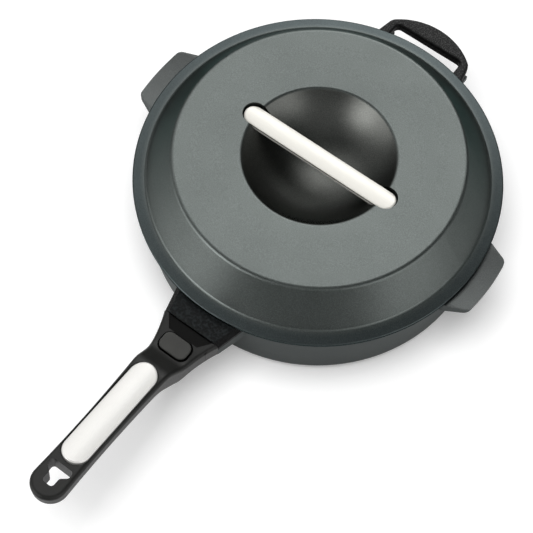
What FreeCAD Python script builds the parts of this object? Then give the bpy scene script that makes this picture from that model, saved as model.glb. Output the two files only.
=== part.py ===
import FreeCAD, Part
import math
import os
import Sketcher

# A covered deep frying pan with a pull-off handle, in millimetres. +Z is up, the origin is the
# middle of the underside, the long handle points along -Y and the two pouring lips along X.

Vector = FreeCAD.Vector
os.makedirs("parts", exist_ok=True)
doc = FreeCAD.newDocument("covered_pan")
sheet = doc.addObject("Spreadsheet::Sheet", "sizes")


class Size:
    """A length or an angle: its number, and the words that give it from the sheet."""

    def __init__(self, words, number):
        self.words = words
        self.number = number

    def __add__(self, other):
        return Size(f"({self.words} + {words_of(other)})", self.number + number_of(other))

    def __radd__(self, other):
        return self + other

    def __sub__(self, other):
        return Size(f"({self.words} - {words_of(other)})", self.number - number_of(other))

    def __rsub__(self, other):
        return Size(f"({words_of(other)} - {self.words})", number_of(other) - self.number)

    def __mul__(self, other):
        return Size(f"({self.words} * {words_of(other)})", self.number * number_of(other))

    def __rmul__(self, other):
        return self * other

    def __truediv__(self, other):
        return Size(f"({self.words} / {words_of(other)})", self.number / number_of(other))

    def __neg__(self):
        return Size(f"(0 - {self.words})", -self.number)


def number_of(value):
    return value.number if isinstance(value, Size) else value


def words_of(value):
    return value.words if isinstance(value, Size) else repr(value)


def root(value):
    return Size(f"sqrt({value.words})", math.sqrt(value.number))


def size(name, number):
    """Writes one driving dimension into the sheet and returns it."""
    row = len(driving) + 1
    sheet.set(f"A{row}", name)
    sheet.set(f"B{row}", repr(number))
    sheet.setAlias(f"B{row}", name)
    driving.append(name)
    return Size(f"sizes.{name}", number)


driving = []

# Clearances, the overrun of cuts, and how far roots run on inside the rim before the inside is cut
overrun = size("overrun", 2.0)
bury = size("bury", 30.0)
seat_gap = size("seat_gap", 0.3)
slide_gap = size("slide_gap", 0.25)
fit_gap = size("fit_gap", 0.1)

# Pan
rim_radius = size("rim_radius", 140.5)
wall_run = size("wall_run", 5.6)
pan_height = size("pan_height", 71.7)
pan_wall = size("pan_wall", 4.0)
pan_floor = size("pan_floor", 6.0)
base_round = size("base_round", 14.0)
floor_round = size("floor_round", 9.0)

# Steel disc in the underside
disc_inset = size("disc_inset", 25.0)
disc_thick = size("disc_thick", 2.4)
disc_edge = size("disc_edge", 0.6)

# Pouring lips
spout_out = size("spout_out", 19.9)
spout_root_half = size("spout_root_half", 33.0)
spout_lip_half = size("spout_lip_half", 26.0)
spout_depth = size("spout_depth", 11.0)
spout_edge = size("spout_edge", 3.0)
spout_corner = size("spout_corner", 6.0)
dish_radius = size("dish_radius", 260.0)
dish_depth = size("dish_depth", 1.6)
dish_out = size("dish_out", 2.5)

# Lid
brim_over = size("brim_over", 4.5)
brim_edge = size("brim_edge", 3.8)
brim_round = size("brim_round", 1.2)
brim_width = size("brim_width", 10.5)
foot_rise = size("foot_rise", 5.8)
side_run = size("side_run", 21.1)
lid_rise = size("lid_rise", 35.0)
plateau_dish = size("plateau_dish", 2.0)
lid_wall = size("lid_wall", 3.2)
ring_gap = size("ring_gap", 1.6)
ring_wall = size("ring_wall", 3.0)
ring_depth = size("ring_depth", 5.5)
recess_radius = size("recess_radius", 59.9)
recess_depth = size("recess_depth", 28.0)
foot_round = size("foot_round", 3.0)
plateau_round = size("plateau_round", 4.0)
recess_round = size("recess_round", 3.0)

# Grip bar of the lid, which reaches past the edge of the recess, and the bosses under its ends
bar_sink = size("bar_sink", 3.2)
bar_seat = size("bar_seat", 10.0)
bar_half_width = size("bar_half_width", 8.3)
bar_side = size("bar_side", 4.6)
bar_crown = size("bar_crown", 1.8)
bar_chamfer = size("bar_chamfer", 0.9)
bar_skin = size("bar_skin", 1.4)
bar_pocket_gap = size("bar_pocket_gap", 1.3)
bar_screw_out = size("bar_screw_out", 3.0)
boss_side = size("boss_side", 5.5)
boss_run = size("boss_run", 9.0)
boss_wall = size("boss_wall", 8.0)
boss_floor = size("boss_floor", 5.0)
boss_join = size("boss_join", 1.6)

# Joint face between pan and handle
joint_out = size("joint_out", 20.3)
joint_half = size("joint_half", 25.3)

# Cast lug of the pan, bracket cap over it and steel tongue between the two
lug_flare = size("lug_flare", 13.4)
lug_inset = size("lug_inset", 1.2)
cap_thick = size("cap_thick", 7.0)
cap_flare = size("cap_flare", 5.8)
cap_rim_gap = size("cap_rim_gap", 0.6)
cap_brim_gap = size("cap_brim_gap", 0.9)
cap_bevel = size("cap_bevel", 3.8)
cap_skin = size("cap_skin", 2.2)
tongue_half = size("tongue_half", 9.0)
tongue_thick = size("tongue_thick", 3.0)
tongue_tip = size("tongue_tip", 13.0)
tongue_side = size("tongue_side", 11.0)
tongue_root_near = size("tongue_root_near", 4.0)
tongue_root_long = size("tongue_root_long", 13.0)
tongue_nose = size("tongue_nose", 2.0)
window_side = size("window_side", 0.8)
window_near = size("window_near", 10.0)
window_long = size("window_long", 7.0)

# Screws
screw_radius = size("screw_radius", 2.0)
head_radius = size("head_radius", 3.8)
head_height = size("head_height", 2.6)
socket_radius = size("socket_radius", 1.7)
socket_depth = size("socket_depth", 1.6)
washer_radius = size("washer_radius", 4.5)
washer_thick = size("washer_thick", 0.8)

# Helper handle and the two cast ears under it
helper_out = size("helper_out", 32.3)
helper_bow = size("helper_bow", 56.0)
helper_drop = size("helper_drop", 1.2)
helper_thick = size("helper_thick", 9.5)
helper_skin = size("helper_skin", 3.5)
helper_rim_gap = size("helper_rim_gap", 0.7)
helper_corner = size("helper_corner", 9.0)
helper_round = size("helper_round", 2.6)
slot_half = size("slot_half", 31.3)
slot_out = size("slot_out", 16.1)
slot_corner = size("slot_corner", 4.0)
arm_width = size("arm_width", 11.9)
tip_width = size("tip_width", 6.7)
ear_inset = size("ear_inset", 0.3)
ear_side = size("ear_side", 2.6)
ear_tip = size("ear_tip", 3.0)
ear_thick = size("ear_thick", 5.0)
ear_screw_inset = size("ear_screw_inset", 5.5)

# Handle shells
front_gap = size("front_gap", 0.7)
handle_thick = size("handle_thick", 18.5)
split_drop = size("split_drop", 1.0)
split_start = size("split_start", 28.5)
under_start = size("under_start", 29.5)
neck_start = size("neck_start", 22.0)
neck_bend = size("neck_bend", 16.0)
ramp_run = size("ramp_run", 8.3)
ramp_rise = size("ramp_rise", 7.5)
grip_run = size("grip_run", 100.0)
grip_climb = size("grip_climb", 10.9)
grip_thick = size("grip_thick", 15.0)
grip_split = size("grip_split", 7.0)
neck_reach = size("neck_reach", 43.0)
waist_reach = size("waist_reach", 112.0)
waist_bend = size("waist_bend", 1300.0)
tail_set = size("tail_set", 1.8)
top_round = size("top_round", 3.0)
under_round = size("under_round", 5.5)
trough_side = size("trough_side", 4.0)
trough_edge = size("trough_edge", 1.1)
trough_depth = size("trough_depth", 2.0)
hang_gap = size("hang_gap", 4.0)
hang_head = size("hang_head", 5.5)
hang_taper = size("hang_taper", 4.0)
hang_stem = size("hang_stem", 8.0)
hang_half = size("hang_half", 9.6)
hang_stem_half = size("hang_stem_half", 4.6)
hang_corner = size("hang_corner", 2.6)

# Handle inlay with the two studs that hold the shells together
inlay_lead = size("inlay_lead", 4.2)
inlay_long = size("inlay_long", 94.4)
inlay_half = size("inlay_half", 10.9)
inlay_border = size("inlay_border", 2.4)
inlay_gap = size("inlay_gap", 1.0)
inlay_sink = size("inlay_sink", 2.4)
inlay_proud = size("inlay_proud", 0.8)
inlay_crown = size("inlay_crown", 2.0)
inlay_chamfer = size("inlay_chamfer", 0.9)
stud_radius = size("stud_radius", 3.6)
stud_inset = size("stud_inset", 28.0)
stud_outset = size("stud_outset", 24.4)
stud_thread = size("stud_thread", 5.0)
clamp_thick = size("clamp_thick", 2.5)
head_cover = size("head_cover", 0.4)

# Release button
button_half_long = size("button_half_long", 7.6)
button_side = size("button_side", 0.3)
button_place = size("button_place", 19.5)
button_proud = size("button_proud", 2.7)
button_corner = size("button_corner", 5.6)
button_round = size("button_round", 0.9)
button_gap = size("button_gap", 1.4)
skin_thick = size("skin_thick", 3.2)
flange_lip = size("flange_lip", 1.5)
flange_thick = size("flange_thick", 1.1)
leg_side = size("leg_side", 1.0)
leg_wide = size("leg_wide", 1.8)
leg_set = size("leg_set", 1.5)
leg_long = size("leg_long", 4.0)

# Socket collar, latch spring with its hook, and the small screws of the spring
collar_wall = size("collar_wall", 1.0)
hook_half = size("hook_half", 3.2)
hook_long = size("hook_long", 3.2)
hook_gap = size("hook_gap", 0.8)
hook_drop = size("hook_drop", 0.8)
leaf_drop = size("leaf_drop", 2.5)
leaf_thick = size("leaf_thick", 0.5)
leaf_edge = size("leaf_edge", 0.2)
leaf_nose = size("leaf_nose", 2.0)
leaf_nose_side = size("leaf_nose_side", 3.8)
leaf_neck = size("leaf_neck", 3.8)
leaf_free = size("leaf_free", 5.0)
leaf_seat = size("leaf_seat", 9.0)
leaf_swing = size("leaf_swing", 3.1)
pin_radius = size("pin_radius", 1.4)
pin_head_radius = size("pin_head_radius", 2.6)
pin_cover = size("pin_cover", 0.4)
pin_length = size("pin_length", 3.0)
pin_x = size("pin_x", 6.0)
pin_socket_radius = size("pin_socket_radius", 1.2)
pin_socket_depth = size("pin_socket_depth", 0.6)
doc.recompute()

# Radii and heights of the pan and the lid that follow
base_radius = rim_radius - wall_run
lean = wall_run / pan_height
inner_rim = rim_radius - pan_wall
inner_base = base_radius - pan_wall + lean * pan_floor
root_start = rim_radius - bury
disc_radius = base_radius - disc_inset
spout_reach = rim_radius + spout_out
dish_place = rim_radius + dish_out
brim_radius = rim_radius + brim_over
foot_radius = brim_radius - brim_width
plateau_radius = foot_radius - side_run
brim_low = pan_height + seat_gap
foot_height = brim_low + foot_rise
plateau_height = brim_low + lid_rise
bowl_radius = (recess_radius * recess_radius + recess_depth * recess_depth) / (2 * recess_depth)
recess_height = plateau_height - plateau_dish
bowl_low = recess_height - recess_depth
bar_half_length = recess_radius + bar_seat
bar_edge = recess_height - bar_sink
bar_low = bar_edge - bar_side
bar_thread = bar_side - bar_skin
bar_screw_place = recess_radius + bar_screw_out
boss_start = recess_radius - boss_run
boss_end = bar_half_length + boss_wall
boss_half_width = bar_half_width + boss_side
boss_low = bar_low - boss_floor
shank_bore = screw_radius + fit_gap
head_sink = head_height + head_cover

# Helper handle
helper_reach = rim_radius + helper_out
helper_top = pan_height - helper_drop
helper_low = helper_top - helper_thick
helper_root_half = slot_half + arm_width
helper_tip_half = slot_half + tip_width
slot_reach = rim_radius + slot_out
ear_near = slot_half + ear_inset
ear_far = helper_root_half - ear_side
ear_reach = slot_reach - ear_tip
ear_screw_x = (ear_near + ear_far) / 2
ear_screw_y = ear_reach - ear_screw_inset
ear_thread = helper_thick - helper_skin

# Joint: the cap passes under the brim of the lid
joint_reach = rim_radius + joint_out
joint_height = brim_low - cap_brim_gap
lug_low = handle_thick
lug_root_half = joint_half + lug_flare
lug_depth_in = joint_out + bury
cap_root_half = joint_half + cap_flare
bracket_thread = cap_thick - cap_skin
bracket_screw_x = tongue_half + tongue_side / 2
bracket_screw_y = tongue_root_near + tongue_root_long / 2
tongue_low = cap_thick + tongue_thick
tongue_root_half = tongue_half + tongue_side
tongue_root_far = tongue_root_near + tongue_root_long
window_half = hook_half + window_side
window_far = window_near + window_long
tongue_reach = window_far + tongue_tip

# Latch spring and button, along the handle from the joint face and down from its top
shell_split = tongue_low + split_drop
hook_top = cap_thick + hook_drop
hook_far = window_far - hook_gap
hook_near = hook_far - hook_long
leaf_top = tongue_low + leaf_drop
leaf_low = leaf_top + leaf_thick
leaf_room = leaf_low + leaf_swing
leaf_near = hook_near - leaf_nose
leaf_step = hook_far + leaf_neck
leg_near = tongue_half + leg_side
leg_far = leg_near + leg_wide
leg_start = leaf_step + leg_set
leg_end = leg_start + leg_long
leaf_half = leg_far + leaf_edge
leaf_nose_half = hook_half + leaf_nose_side
leaf_clamp = leg_end + leaf_free
leaf_far = leaf_clamp + leaf_seat
pin_y = (leaf_clamp + leaf_far) / 2
pin_head_height = leaf_top - shell_split - pin_cover
button_half_wide = leg_far + button_side
button_near = button_place - button_half_long
button_far = button_place + button_half_long
collar_start = front_gap + fit_gap
collar_depth = button_near - flange_lip - button_gap - collar_start

# Side of the handle: level at the joint, an S-bend, and a straight grip that climbs a little
ramp_long = root(ramp_run * ramp_run + ramp_rise * ramp_rise)
grip_long = root(grip_run * grip_run + grip_climb * grip_climb)
ramp_sine, ramp_cosine = ramp_rise / ramp_long, ramp_run / ramp_long
grip_sine, grip_cosine = grip_climb / grip_long, grip_run / grip_long
bend_run, bend_rise = neck_bend * ramp_sine, neck_bend * (1 - ramp_cosine)
crest_run = neck_bend * (ramp_sine - grip_sine)
crest_rise = neck_bend * (grip_cosine - ramp_cosine)
grip_reach = neck_start + bend_run + ramp_run + crest_run
grip_height = bend_rise + ramp_rise + crest_rise

# Inlay and hanging hole, along the grip from the end of the S-bend
inlay_near = -inlay_lead
inlay_far = inlay_near + inlay_long
stud_depth = grip_thick - head_sink - clamp_thick
stud_places = [(0, -inlay_near - stud_inset), (0, stud_outset - inlay_far)]
hang_near = inlay_far + hang_gap
hang_shoulder = hang_near + hang_head
hang_neck = hang_shoulder + hang_taper
hang_far = hang_neck + hang_stem

# Plan of the handle: a flare, a slightly waisted grip and a round end
trough_half = joint_half - trough_side
trough_end_half = button_half_wide + trough_edge
trough_reach = button_near - button_gap
waist_half = inlay_half + inlay_border
tail_reach = grip_reach + hang_far * grip_cosine - tail_set
waist_centre = waist_half + waist_bend
tail_radius = root(waist_centre * waist_centre
                   + (tail_reach - waist_reach) * (tail_reach - waist_reach)) - waist_bend
tail_share = tail_radius / (tail_radius + waist_bend)
tail_x = waist_centre * tail_share
tail_y = tail_reach - (tail_reach - waist_reach) * tail_share
neck_drop = waist_reach - neck_reach
neck_x = waist_centre - root(waist_bend * waist_bend - neck_drop * neck_drop)
flare_across = joint_half - neck_x
flare_along = neck_reach - front_gap
flare_bend = (flare_across * flare_across + flare_along * flare_along) / (
    2 * ((waist_centre - neck_x) * flare_across - neck_drop * flare_along) / waist_bend)

# How near two edges lie to count as one, and how much of a body a feature changes at least
touch = 0.001
least_change_share = 1e-6
level_share = 0.3


class Frame:
    """A frame that keeps the pan's X axis: its origin, and how it climbs towards the handle's end."""

    def __init__(self, y=0, z=0, climb=None, along=None):
        self.y = y
        self.z = z
        self.level = climb is None
        self.slant = 0
        if not self.level:
            whole = root(climb * climb + along * along)
            self.rise = climb / whole
            self.run = along / whole
            degrees = math.degrees(math.atan2(climb.number, along.number))
            self.slant = Size(f"atan({climb.words} / {along.words})", degrees)

    def spot(self, x, y, z):
        """A point of this frame, in the frame around it."""
        if self.level:
            return (x, self.y + y, self.z + z)
        return (x, self.y + y * self.run + z * self.rise, self.z - y * self.rise + z * self.run)

    def along(self, point):
        """Where a point of the frame around it lies along this frame's own Y axis."""
        across = point.y - number_of(self.y)
        if self.level:
            return across
        return across * self.run.number - (point.z - number_of(self.z)) * self.rise.number


# The frame of the pan, the frame of the joint, whose origin is the middle of the top of the joint
# face, and the frame of the grip, as seen from the joint and from the pan
pan_frame = Frame()
joint = Frame(-joint_reach, joint_height)
grip = Frame(-grip_reach, grip_height, grip_climb, grip_run)
grip_on_pan = Frame(-joint_reach - grip_reach, joint_height + grip_height, grip_climb, grip_run)


def put(item, place, frame, x=0, y=0, z=0, upside_down=False):
    """Places an item at a point of a frame and ties its place to the sheet."""
    spot = frame.spot(x, y, z)
    turned = 180 if upside_down else frame.slant
    base = Vector(*[number_of(value) for value in spot])
    setattr(item, place, FreeCAD.Placement(base, FreeCAD.Rotation(Vector(-1, 0, 0), number_of(turned))))
    ties = [(".Base.x", spot[0]), (".Base.y", spot[1]), (".Base.z", spot[2]), (".Rotation.Angle", turned)]
    for path, value in ties:
        if isinstance(value, Size):
            item.setExpression(place + path, value.words)


def new_body(name, frame=pan_frame):
    body = doc.addObject("PartDesign::Body", name)
    body.Label = name
    put(body, "Placement", frame)
    return body


def attach(item, body, role):
    plane = [feature for feature in body.Origin.OriginFeatures if feature.Role == role]
    item.AttachmentSupport = [(plane[0], "")]
    item.MapMode = "FlatFace"


def new_sketch(body, role, rise=0, frame=pan_frame):
    """A sketch on one of the body's own planes, lifted along the plane's normal."""
    sketch = body.newObject("Sketcher::SketchObject", body.Name + "_outline")
    attach(sketch, body, role)
    put(sketch, "AttachmentOffset", frame, z=rise)
    return sketch


def bind(sketch, kind, value, *where):
    """Adds a dimension to a sketch and ties it to the sheet."""
    index = sketch.addConstraint(Sketcher.Constraint(kind, *where, number_of(value)))
    if isinstance(value, Size):
        sketch.setExpression(f"Constraints[{index}]", value.words)


def arc_between(start, end, radius, side):
    """The arc of less than half a turn from start to end; side 1 has its centre on the left."""
    chord = end - start
    depth = math.sqrt(max(radius ** 2 - chord.Length ** 2 / 4, 0))
    left = Vector(-chord.y, chord.x, 0).normalize()
    centre = (start + end) * 0.5 + left * depth * side
    first, last = (start, end) if side > 0 else (end, start)
    turn = [math.atan2(point.y - centre.y, point.x - centre.x) for point in (first, last)]
    return Part.ArcOfCircle(Part.Circle(centre, Vector(0, 0, 1), radius), turn[0], turn[1])


def add_loop(sketch, corners):
    """Adds a closed outline. A corner is (x, y), or (x, y, radius, side) where the edge that leaves
    it is an arc; a radius of None is half a turn."""
    first = sketch.GeometryCount
    points = [Vector(number_of(corner[0]), number_of(corner[1]), 0) for corner in corners]
    heads = []
    for index, corner in enumerate(corners):
        start = points[index]
        end = points[(index + 1) % len(points)]
        side = corner[3] if len(corner) > 2 else 1
        if len(corner) > 2:
            radius = (end - start).Length / 2 if corner[2] is None else corner[2].number
            sketch.addGeometry(arc_between(start, end, radius, side), False)
        else:
            sketch.addGeometry(Part.LineSegment(start, end), False)
        heads.append(1 if side > 0 else 2)
    for index, corner in enumerate(corners):
        following = (index + 1) % len(corners)
        sketch.addConstraint(Sketcher.Constraint(
            "Coincident", first + index, 3 - heads[index], first + following, heads[following]))
        bind(sketch, "DistanceX", corner[0], -1, 1, first + index, heads[index])
        bind(sketch, "DistanceY", corner[1], -1, 1, first + index, heads[index])
        if len(corner) > 2 and corner[2] is not None:
            bind(sketch, "Radius", corner[2], first + index)
        if len(corner) > 2 and corner[2] is None:
            chord = points[following] - points[index]
            along_x = abs(chord.x) > abs(chord.y)
            axis, value = ("DistanceY", corner[1]) if along_x else ("DistanceX", corner[0])
            bind(sketch, axis, value, -1, 1, first + index, 3)
    return sketch


def add_circle(sketch, x, y, radius):
    index = sketch.addGeometry(Part.Circle(
        Vector(number_of(x), number_of(y), 0), Vector(0, 0, 1), radius.number), False)
    bind(sketch, "DistanceX", x, -1, 1, index, 3)
    bind(sketch, "DistanceY", y, -1, 1, index, 3)
    bind(sketch, "Radius", radius, index)
    return sketch


def box_loop(half, near, far):
    """A rectangle across the handle, from near to far along -Y."""
    return [(-half, -near), (half, -near), (half, -far), (-half, -far)]


def mirrored(corners):
    """The same outline on the other side of the YZ plane."""
    turned = []
    count = len(corners)
    for index in range(count):
        corner = corners[-index % count]
        leaving = corners[(-index - 1) % count]
        bend = tuple(leaving[2:]) if len(leaving) > 2 else ()
        turned.append((-corner[0], corner[1]) + bend)
    return turned


def finish(feature):
    """Builds a feature and makes sure that it changed its body and is sound."""
    doc.recompute()
    if "Invalid" in feature.State or feature.Shape.isNull() or not feature.Shape.isValid():
        raise RuntimeError(f"{feature.Name} failed: {feature.State}")
    base = getattr(feature, "BaseFeature", None)
    if base and abs(base.Shape.Volume - feature.Shape.Volume) < least_change_share * base.Shape.Volume:
        raise RuntimeError(f"{feature.Name} changed nothing")
    return feature


def pad(body, sketch, depth, down=False):
    feature = body.newObject("PartDesign::Pad", body.Name + "_pad")
    feature.Profile = sketch
    feature.Reversed = down
    feature.setExpression("Length", depth.words)
    return finish(feature)


def cut(body, sketch, depth, up=False):
    feature = body.newObject("PartDesign::Pocket", body.Name + "_pocket")
    feature.Profile = sketch
    feature.Reversed = up
    feature.setExpression("Length", depth.words)
    return finish(feature)


def turn(body, sketch, kind="PartDesign::Revolution"):
    feature = body.newObject(kind, body.Name + "_turned")
    feature.Profile = sketch
    feature.ReferenceAxis = (sketch, ["V_Axis"])
    feature.Angle = 360
    return finish(feature)


def edges(body, chosen):
    """The names of the edges of a body's last feature that the test chooses."""
    doc.recompute()
    found = [f"Edge{index}" for index, edge in enumerate(body.Tip.Shape.Edges, 1) if chosen(edge)]
    if not found:
        raise RuntimeError(f"no such edge on {body.Name}")
    return found


def near(first, second):
    return abs(first - second) < touch


def above(edge, height):
    return edge.BoundBox.ZMin > height - touch


def flat_at(edge, height):
    box = edge.BoundBox
    return near(box.ZMin, height) and near(box.ZMax, height)


def ring_at(edge, radius, height):
    box = edge.BoundBox
    return flat_at(edge, height) and near(box.XMax, radius) and near(box.XMin, -radius)


def upright_at(edge, x, y, frame=pan_frame):
    box = edge.BoundBox
    return box.ZLength > touch and box.XLength < touch and all(
        [near(abs(vertex.X), x) and near(frame.along(vertex.Point), y) for vertex in edge.Vertexes])


def soften(body, amount, chosen, kind="Fillet"):
    """Rounds or bevels the chosen edges."""
    names = edges(body, chosen)
    base = body.Tip
    feature = body.newObject("PartDesign::" + kind, body.Name + "_edge")
    feature.Base = (base, names)
    feature.setExpression("Radius" if kind == "Fillet" else "Size", amount.words)
    return finish(feature)


nodes = []


def keep(made):
    nodes.append(made)
    return made


def group(name, members):
    """Several separate solids under one name."""
    made = doc.addObject("Part::Compound", name)
    made.Label = name
    made.Links = members
    return keep(made)


def screw_at(name, frame, x, y, z, shank, sizes_of_head, bore, upside_down=False):
    """A screw that points up from its seat, or down where it is upside down."""
    radius, high = sizes_of_head
    hex_radius, hex_depth = bore
    body = new_body(name)
    outline = [(0, -high), (radius, -high), (radius, 0), (shank[0], 0), (shank[0], shank[1]), (0, shank[1])]
    turn(body, add_loop(new_sketch(body, "XZ_Plane"), outline))
    corners = []
    for index in range(6):
        turned = math.radians(60 * index)
        corners.append((hex_radius * math.cos(turned), hex_radius * math.sin(turned)))
    cut(body, add_loop(new_sketch(body, "XY_Plane", -high), corners), hex_depth, up=True)
    put(body, "Placement", frame, x, y, z, upside_down)
    return body


def washer_at(name, frame, x, y, z):
    """A plain washer below the given height."""
    body = new_body(name)
    sketch = new_sketch(body, "XY_Plane")
    add_circle(sketch, 0, 0, washer_radius)
    add_circle(sketch, 0, 0, screw_radius + fit_gap)
    pad(body, sketch, washer_thick, down=True)
    put(body, "Placement", frame, x, y, z)
    return body


def holes(body, places, radius, rise, depth, up, frame=pan_frame):
    sketch = new_sketch(body, "XY_Plane", rise, frame)
    for x, y in places:
        add_circle(sketch, x, y, radius)
    cut(body, sketch, depth, up=up)


def both_sides(x, y):
    return [(-x, y), (x, y)]


def handle_plan():
    return [
        (-joint_half, -front_gap), (joint_half, -front_gap, flare_bend, 1),
        (neck_x, -neck_reach, waist_bend, 1), (tail_x, -tail_y, tail_radius, -1),
        (-tail_x, -tail_y, waist_bend, 1), (-neck_x, -neck_reach, flare_bend, 1)]


def hanging_hole():
    return [
        (hang_half, -hang_near), (hang_half, -hang_shoulder), (hang_stem_half, -hang_neck),
        (hang_stem_half, -hang_far), (-hang_stem_half, -hang_far), (-hang_stem_half, -hang_neck),
        (-hang_half, -hang_shoulder), (-hang_half, -hang_near)]


def round_hanging_hole(body):
    corners = [
        (hang_half, hang_near), (hang_half, hang_shoulder), (hang_stem_half, hang_neck),
        (hang_stem_half, hang_far)]
    for x, y in corners:
        soften(body, hang_corner, lambda edge: upright_at(edge, x.number, -y.number, grip))


def capsule(half, near_end, far_end, grow=0):
    """A long shape with half-round ends along -Y."""
    wide = half + grow
    first = near_end + half
    last = far_end - half
    return [(wide, -first), (wide, -last, None, -1), (-wide, -last), (-wide, -first, None, -1)]


def capsule_across(half_length, half_width, grow=0):
    """The same along X."""
    wide = half_width + grow
    run = half_length - half_width
    return [(-run, -wide), (run, -wide, None, 1), (run, wide), (-run, wide, None, 1)]


def rounded_plan(half_x, half_y, corner, place):
    """A rectangle with round corners across the handle, round a place along -Y."""
    left, right = -half_x, half_x
    low, high = -place - half_y, -place + half_y
    return [
        (left + corner, low), (right - corner, low, corner, 1), (right, low + corner),
        (right, high - corner, corner, 1), (right - corner, high), (left + corner, high, corner, 1),
        (left, high - corner), (left, low + corner, corner, 1)]


def make_pan_body():
    body = new_body("pan_body")
    turn(body, add_loop(new_sketch(body, "XZ_Plane"), [
        (0, 0), (base_radius, 0), (rim_radius, pan_height), (0, pan_height)]))
    soften(body, base_round, lambda edge: ring_at(edge, base_radius.number, 0))

    # Pouring lips with a thin, undercut edge
    spout_low = pan_height - spout_depth
    lip_x = root(spout_reach * spout_reach - spout_lip_half * spout_lip_half)
    lip = [
        (root_start, -spout_root_half), (rim_radius, -spout_root_half),
        (lip_x, -spout_lip_half, spout_reach, 1), (lip_x, spout_lip_half),
        (rim_radius, spout_root_half), (root_start, spout_root_half)]
    sketch = new_sketch(body, "XY_Plane", spout_low)
    add_loop(sketch, lip)
    add_loop(sketch, mirrored(lip))
    pad(body, sketch, spout_depth)
    for side in (-1, 1):
        soften(body, spout_corner, lambda edge: upright_at(
            edge, lip_x.number, side * spout_lip_half.number))
    turn(body, add_loop(new_sketch(body, "XZ_Plane"), [
        (rim_radius + overrun, spout_low - overrun), (spout_reach + overrun, spout_low - overrun),
        (spout_reach + overrun, pan_height - spout_edge), (rim_radius + overrun, spout_low)]),
        "PartDesign::Groove")

    # Lug under the long handle and ears under the helper handle
    lug_tip_half = joint_half - lug_inset
    pad(body, add_loop(new_sketch(body, "XY_Plane", -lug_low, joint), [
        (-lug_tip_half, 0), (lug_tip_half, 0), (lug_root_half, lug_depth_in),
        (-lug_root_half, lug_depth_in)]), lug_low - cap_thick)
    ear = [(ear_near, root_start), (ear_far, root_start), (ear_far, ear_reach), (ear_near, ear_reach)]
    sketch = new_sketch(body, "XY_Plane", helper_low - ear_thick)
    add_loop(sketch, ear)
    add_loop(sketch, mirrored(ear))
    pad(body, sketch, ear_thick)

    # Inside of the pan
    turn(body, add_loop(new_sketch(body, "XZ_Plane"), [
        (0, pan_floor), (inner_base, pan_floor), (inner_rim + lean * overrun, pan_height + overrun),
        (0, pan_height + overrun)]), "PartDesign::Groove")
    soften(body, floor_round, lambda edge: ring_at(edge, inner_base.number, pan_floor.number))
    for side in (-1, 1):
        dish = body.newObject("PartDesign::SubtractiveSphere", "pan_body_dish")
        attach(dish, body, "XY_Plane")
        put(dish, "AttachmentOffset", pan_frame, side * dish_place, z=pan_height + dish_radius - dish_depth)
        dish.setExpression("Radius", dish_radius.words)
        finish(dish)

    # Seats of the disc, the tongue and the screws
    holes(body, [(0, 0)], disc_radius + seat_gap, 0, disc_thick, up=True)
    wide = tongue_half + fit_gap
    root_wide = tongue_root_half + fit_gap
    groove = [
        (-wide, -overrun), (wide, -overrun), (wide, tongue_root_near - fit_gap),
        (root_wide, tongue_root_near - fit_gap), (root_wide, tongue_root_far + fit_gap),
        (-root_wide, tongue_root_far + fit_gap), (-root_wide, tongue_root_near - fit_gap),
        (-wide, tongue_root_near - fit_gap)]
    cut(body, add_loop(new_sketch(body, "XY_Plane", -cap_thick, joint), groove), tongue_thick)
    bracket_places = both_sides(bracket_screw_x, bracket_screw_y)
    holes(body, bracket_places, shank_bore, -lug_low, lug_low, True, joint)
    holes(body, both_sides(ear_screw_x, ear_screw_y), shank_bore, helper_low - ear_thick, ear_thick, True)
    return keep(body)


def make_induction_disc():
    body = new_body("induction_disc")
    pad(body, add_circle(new_sketch(body, "XY_Plane"), 0, 0, disc_radius), disc_thick)
    soften(body, disc_edge, lambda edge: ring_at(edge, disc_radius.number, 0), "Chamfer")
    return keep(body)


def make_bracket_cap():
    body = new_body("bracket_cap", joint)
    rim = rim_radius + cap_rim_gap
    root_y = joint_reach - root(rim * rim - cap_root_half * cap_root_half)
    pad(body, add_loop(new_sketch(body, "XY_Plane", -cap_thick), [
        (-joint_half, 0), (joint_half, 0), (cap_root_half, root_y, rim, -1), (-cap_root_half, root_y)]),
        cap_thick)
    soften(body, cap_bevel, lambda edge: flat_at(edge, 0) and edge.BoundBox.YLength > joint_half.number / 2
           and edge.BoundBox.XLength < joint_half.number, "Chamfer")
    holes(body, both_sides(bracket_screw_x, bracket_screw_y), shank_bore, -cap_thick, bracket_thread, True)
    return keep(body)


def make_handle_tongue():
    body = new_body("handle_tongue", joint)
    nose = tongue_half - tongue_nose
    sketch = new_sketch(body, "XY_Plane", -tongue_low)
    add_loop(sketch, [
        (tongue_half, tongue_root_near), (tongue_root_half, tongue_root_near),
        (tongue_root_half, tongue_root_far), (-tongue_root_half, tongue_root_far),
        (-tongue_root_half, tongue_root_near), (-tongue_half, tongue_root_near),
        (-tongue_half, -tongue_reach + tongue_nose), (-nose, -tongue_reach), (nose, -tongue_reach),
        (tongue_half, -tongue_reach + tongue_nose)])
    add_loop(sketch, box_loop(window_half, window_near, window_far))
    for x, y in both_sides(bracket_screw_x, bracket_screw_y):
        add_circle(sketch, x, y, shank_bore)
    pad(body, sketch, tongue_thick)
    return keep(body)


def make_bracket_screws():
    seat = -lug_low - washer_thick
    shank = (screw_radius, lug_low - cap_thick + bracket_thread + washer_thick - seat_gap)
    screws = []
    washers = []
    for index, (x, y) in enumerate(both_sides(bracket_screw_x, bracket_screw_y)):
        screws.append(screw_at(f"bracket_screw_{index}", joint, x, y, seat, shank,
                               (head_radius, head_height), (socket_radius, socket_depth)))
        washers.append(washer_at(f"bracket_washer_{index}", joint, x, y, -lug_low))
    group("bracket_screws", screws)
    group("bracket_washers", washers)


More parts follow.
